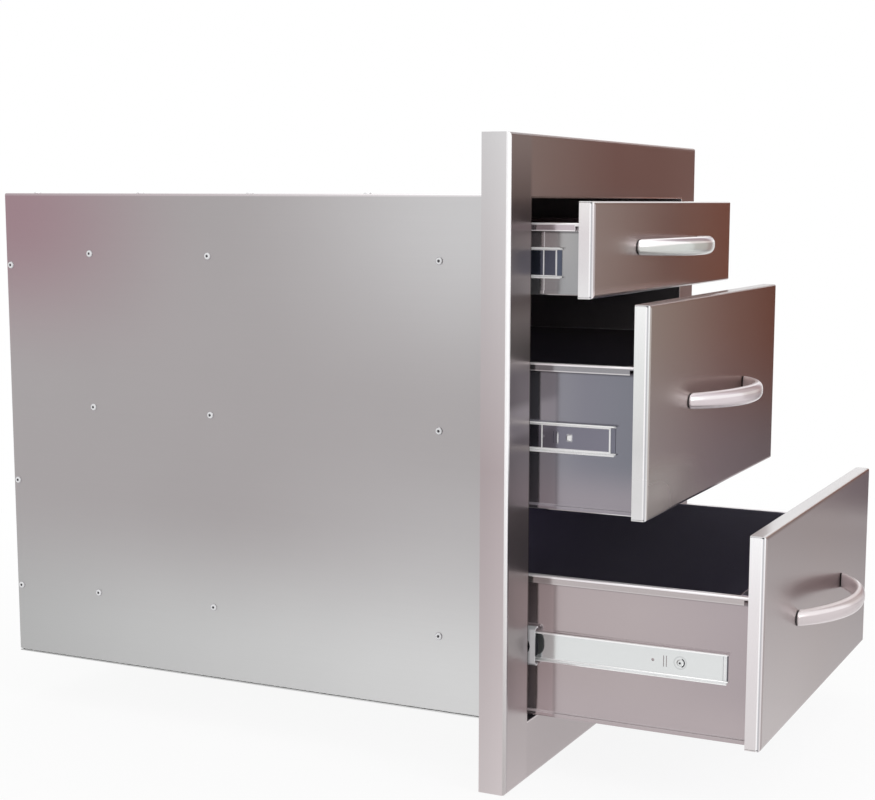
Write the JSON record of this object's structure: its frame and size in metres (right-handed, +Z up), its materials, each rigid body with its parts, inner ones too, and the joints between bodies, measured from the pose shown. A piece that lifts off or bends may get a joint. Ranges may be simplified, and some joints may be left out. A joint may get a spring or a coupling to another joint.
{
  "type": "built-in drawer unit",
  "caption": "Built-in stainless steel kitchen drawer unit with a trim frame, bow handles, and drawers of different depths pulled out on telescoping ball slides",
  "frame": {"origin": "on the underside of the case, on the centre line, in the plane of the trim frame's rear lip, where the sill of the cut-out meets the face of the counter", "axes": "X runs to the right seen from the front, Y runs from the front to the back, Z runs up; the drawers pull out along -Y"},
  "size_m": [0.5334, 0.8766, 0.6096],
  "materials": {
    "warm_brushed_steel": "satin, with vertical brushing",
    "case_steel": "satin mill finish",
    "handle_steel": "satin polished",
    "box_steel": "satin mill finish",
    "slide_plating": "bright zinc plating",
    "cage_plastic": "black moulded plastic"
  },
  "bodies": {
    "case": {"front_frame": "warm_brushed_steel", "case_left_panel": "case_steel", "case_right_panel": "case_steel", "case_top_panel": "case_steel", "case_bottom_panel": "case_steel", "case_back_panel": "case_steel", "top_left_cabinet_rail": "slide_plating", "top_right_cabinet_rail": "slide_plating", "middle_left_cabinet_rail": "slide_plating", "middle_right_cabinet_rail": "slide_plating", "bottom_left_cabinet_rail": "slide_plating", "bottom_right_cabinet_rail": "slide_plating"},
    "top_middle_rails": {"top_left_middle_rail": "slide_plating", "top_right_middle_rail": "slide_plating"},
    "top_drawer": {"top_drawer_front_skin": "warm_brushed_steel", "top_drawer_front_liner": "warm_brushed_steel", "top_drawer_handle": "handle_steel", "top_drawer_left_side": "box_steel", "top_drawer_right_side": "box_steel", "top_drawer_box_front": "box_steel", "top_drawer_box_back": "box_steel", "top_drawer_floor": "box_steel", "top_left_drawer_rail": "slide_plating", "top_right_drawer_rail": "slide_plating"},
    "top_outer_cages": {"top_left_outer_ball_cage": "slide_plating", "top_right_outer_ball_cage": "slide_plating"},
    "top_inner_cages": {"top_left_inner_ball_cage": "cage_plastic", "top_right_inner_ball_cage": "cage_plastic"},
    "middle_middle_rails": {"middle_left_middle_rail": "slide_plating", "middle_right_middle_rail": "slide_plating"},
    "middle_drawer": {"middle_drawer_front_skin": "warm_brushed_steel", "middle_drawer_front_liner": "warm_brushed_steel", "middle_drawer_handle": "handle_steel", "middle_drawer_left_side": "box_steel", "middle_drawer_right_side": "box_steel", "middle_drawer_box_front": "box_steel", "middle_drawer_box_back": "box_steel", "middle_drawer_floor": "box_steel", "middle_left_drawer_rail": "slide_plating", "middle_right_drawer_rail": "slide_plating"},
    "middle_outer_cages": {"middle_left_outer_ball_cage": "slide_plating", "middle_right_outer_ball_cage": "slide_plating"},
    "middle_inner_cages": {"middle_left_inner_ball_cage": "cage_plastic", "middle_right_inner_ball_cage": "cage_plastic"},
    "bottom_middle_rails": {"bottom_left_middle_rail": "slide_plating", "bottom_right_middle_rail": "slide_plating"},
    "bottom_drawer": {"bottom_drawer_front_skin": "warm_brushed_steel", "bottom_drawer_front_liner": "warm_brushed_steel", "bottom_drawer_handle": "handle_steel", "bottom_drawer_left_side": "box_steel", "bottom_drawer_right_side": "box_steel", "bottom_drawer_box_front": "box_steel", "bottom_drawer_box_back": "box_steel", "bottom_drawer_floor": "box_steel", "bottom_left_drawer_rail": "slide_plating", "bottom_right_drawer_rail": "slide_plating"},
    "bottom_outer_cages": {"bottom_left_outer_ball_cage": "slide_plating", "bottom_right_outer_ball_cage": "slide_plating"},
    "bottom_inner_cages": {"bottom_left_inner_ball_cage": "cage_plastic", "bottom_right_inner_ball_cage": "cage_plastic"}
  },
  "joints": [
    {"name": "top_rails_extend", "type": "slide", "parent": "case", "child": "top_middle_rails", "axis": [0, -1, 0], "range_m": [0, 0.25]},
    {"name": "top_drawer_extend", "type": "slide", "parent": "top_middle_rails", "child": "top_drawer", "axis": [0, -1, 0], "range_m": [-0.0596, 0.1904]},
    {"name": "top_outer_cages_roll", "type": "slide", "parent": "case", "child": "top_outer_cages", "axis": [0, -1, 0], "range_m": [0, 0.125]},
    {"name": "top_inner_cages_roll", "type": "slide", "parent": "top_middle_rails", "child": "top_inner_cages", "axis": [0, -1, 0], "range_m": [-0.0298, 0.0952]},
    {"name": "middle_rails_extend", "type": "slide", "parent": "case", "child": "middle_middle_rails", "axis": [0, -1, 0], "range_m": [0, 0.25]},
    {"name": "middle_drawer_extend", "type": "slide", "parent": "middle_middle_rails", "child": "middle_drawer", "axis": [0, -1, 0], "range_m": [-0.1145, 0.1355]},
    {"name": "middle_outer_cages_roll", "type": "slide", "parent": "case", "child": "middle_outer_cages", "axis": [0, -1, 0], "range_m": [0, 0.125]},
    {"name": "middle_inner_cages_roll", "type": "slide", "parent": "middle_middle_rails", "child": "middle_inner_cages", "axis": [0, -1, 0], "range_m": [-0.05725, 0.06775]},
    {"name": "bottom_rails_extend", "type": "slide", "parent": "case", "child": "bottom_middle_rails", "axis": [0, -1, 0], "range_m": [-0.04, 0.21]},
    {"name": "bottom_drawer_extend", "type": "slide", "parent": "bottom_middle_rails", "child": "bottom_drawer", "axis": [0, -1, 0], "range_m": [-0.186, 0.064]},
    {"name": "bottom_outer_cages_roll", "type": "slide", "parent": "case", "child": "bottom_outer_cages", "axis": [0, -1, 0], "range_m": [-0.02, 0.105]},
    {"name": "bottom_inner_cages_roll", "type": "slide", "parent": "bottom_middle_rails", "child": "bottom_inner_cages", "axis": [0, -1, 0], "range_m": [-0.093, 0.032]}
  ],
  "couplings": [
    {"joint": "top_outer_cages_roll", "follows": "top_rails_extend", "ratio": 0.5},
    {"joint": "top_inner_cages_roll", "follows": "top_drawer_extend", "ratio": 0.5},
    {"joint": "middle_outer_cages_roll", "follows": "middle_rails_extend", "ratio": 0.5},
    {"joint": "middle_inner_cages_roll", "follows": "middle_drawer_extend", "ratio": 0.5},
    {"joint": "bottom_outer_cages_roll", "follows": "bottom_rails_extend", "ratio": 0.5},
    {"joint": "bottom_inner_cages_roll", "follows": "bottom_drawer_extend", "ratio": 0.5}
  ]
}
